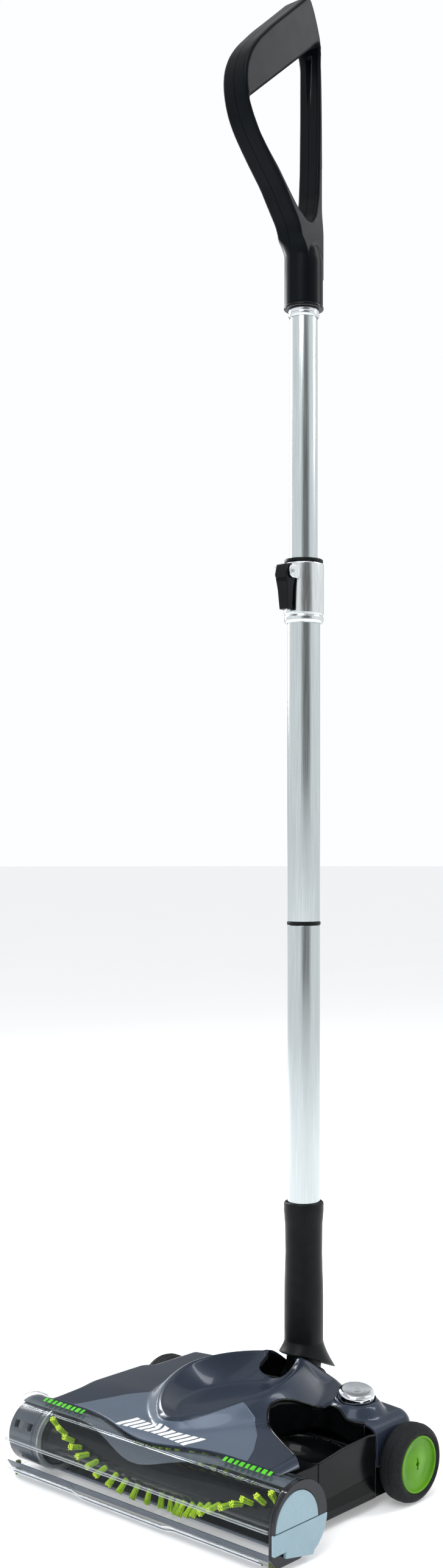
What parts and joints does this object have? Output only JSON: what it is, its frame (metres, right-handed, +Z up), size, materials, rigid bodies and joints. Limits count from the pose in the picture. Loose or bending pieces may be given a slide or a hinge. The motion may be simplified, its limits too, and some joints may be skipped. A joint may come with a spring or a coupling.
{
  "type": "carpet sweeper",
  "caption": "Cordless upright carpet sweeper: wheeled brush head with a clear window, chevron bristle roller, side-sliding dirt tray, telescopic pole and open loop handle.",
  "frame": {"origin": "middle of the footprint's bounding rectangle, on the floor", "axes": "+Z up along the pole, -Y the front where the brush is, +X the side that the dirt tray slides out of"},
  "size_m": [0.274, 0.2154, 1.128],
  "materials": {
    "slate_shell": "glossy slate grey, lightly metallic",
    "slate_trough": "glossy slate grey",
    "black_gloss": "glossy black",
    "clear_window": "clear and glossy",
    "smoke_frame": "smoked and glossy",
    "ice_cap": "pale blue grey, satin",
    "olive_tuft": "nylon tuft",
    "silver_drum": "silver painted",
    "black_satin": "satin moulded black",
    "belt_rubber": "plain rubber",
    "motor_case": "plated can",
    "battery_wrap": "black shrink sleeve",
    "board_green": "solder resist",
    "steel": "zinc plated",
    "lime_bristle": "nylon bristle",
    "chromed_button": "chromed plastic",
    "tyre_black": "soft black tyre",
    "hub_green": "lime green",
    "tube_aluminium": "satin anodised",
    "collar_aluminium": "satin anodised",
    "chrome_ferrule": "polished",
    "handle_black": "satin moulded black"
  },
  "bodies": {
    "head": {"top_shell": "slate_shell", "brush_trough": "slate_trough", "chassis": "black_gloss", "side_panel_right": "black_gloss", "recess_liner": "black_gloss", "charging_socket": "black_gloss", "switch_body": "black_gloss", "tilt_bracket": "black_gloss", "window_upper": "clear_window", "window_lower": "clear_window", "end_cap_left": "clear_window", "end_frame_right": "smoke_frame", "end_cap_right_upper": "ice_cap", "end_cap_right_lower": "ice_cap", "edge_tuft_left": "olive_tuft", "edge_tuft_right": "olive_tuft", "drive_drum": "silver_drum", "brush_bush_left": "black_satin", "brush_bush_right": "black_satin", "switch_plate": "black_satin", "drive_belt": "belt_rubber", "glide_pad_left": "belt_rubber", "glide_pad_right": "belt_rubber", "motor": "motor_case", "battery_pack": "battery_wrap", "circuit_board": "board_green", "pivot_pin": "steel", "base_screw_1": "steel", "base_screw_2": "steel", "base_screw_3": "steel", "base_screw_4": "steel", "wheel_axle_left": "steel", "wheel_axle_right": "steel", "button_spring": "steel"},
    "brush": {"brush_core": "black_satin", "bristle_row_1": "lime_bristle", "bristle_row_2": "lime_bristle", "brush_pulley": "black_satin"},
    "motor_pulley": {"motor_pulley": "black_satin"},
    "tray": {"dirt_tray": "black_gloss"},
    "wheel_left": {"wheel_tyre_left": "tyre_black", "wheel_hub_left": "hub_green"},
    "wheel_right": {"wheel_tyre_right": "tyre_black", "wheel_hub_right": "hub_green"},
    "button": {"power_button": "chromed_button"},
    "pole": {"neck": "black_satin", "lower_sleeve": "black_satin", "lower_tube": "tube_aluminium", "tube_connector": "black_satin", "mid_tube": "tube_aluminium", "clamp_collar": "collar_aluminium", "collar_ring": "black_satin", "lever_pin": "steel"},
    "lever": {"cam_lever": "black_satin"},
    "upper": {"tube_guide": "black_satin", "upper_tube": "tube_aluminium", "handle_ferrule": "chrome_ferrule", "handle_left": "handle_black", "handle_right": "handle_black", "handle_screw": "steel"}
  },
  "joints": [
    {"name": "brush_spin", "type": "hinge", "parent": "head", "child": "brush", "pos_m": [0, -0.08125, 0.0295], "axis": [1, 0, 0], "continuous": true},
    {"name": "motor_pulley_spin", "type": "hinge", "parent": "head", "child": "motor_pulley", "pos_m": [0, 0.03775, 0.034], "axis": [1, 0, 0], "continuous": true},
    {"name": "wheel_left_spin", "type": "hinge", "parent": "head", "child": "wheel_left", "pos_m": [0, 0.05375, 0.0275], "axis": [1, 0, 0], "continuous": true},
    {"name": "wheel_right_spin", "type": "hinge", "parent": "head", "child": "wheel_right", "pos_m": [0, 0.05375, 0.0275], "axis": [1, 0, 0], "continuous": true},
    {"name": "tray_slide", "type": "slide", "parent": "head", "child": "tray", "axis": [1, 0, 0], "range_m": [0, 0.215]},
    {"name": "power_button_press", "type": "slide", "parent": "head", "child": "button", "axis": [-0.1737, 0.1029, -0.9794], "range_m": [0, 0.003], "stiffness_N_per_m": 600, "springref_m": -0.002, "deforming": ["button_spring"]},
    {"name": "handle_tilt", "type": "hinge", "parent": "head", "child": "pole", "pos_m": [0, 0.07975, 0.053], "axis": [-1, 0, 0], "range_deg": [0, 75]},
    {"name": "cam_lever_flip", "type": "hinge", "parent": "pole", "child": "lever", "pos_m": [0, 0.05725, 0.682], "axis": [-1, 0, 0], "range_deg": [0, 95]},
    {"name": "telescope", "type": "slide", "parent": "pole", "child": "upper", "axis": [0, 0, -1], "range_m": [0, 0.185]}
  ],
  "couplings": [
    {"joint": "motor_pulley_spin", "follows": "brush_spin", "ratio": 2}
  ]
}
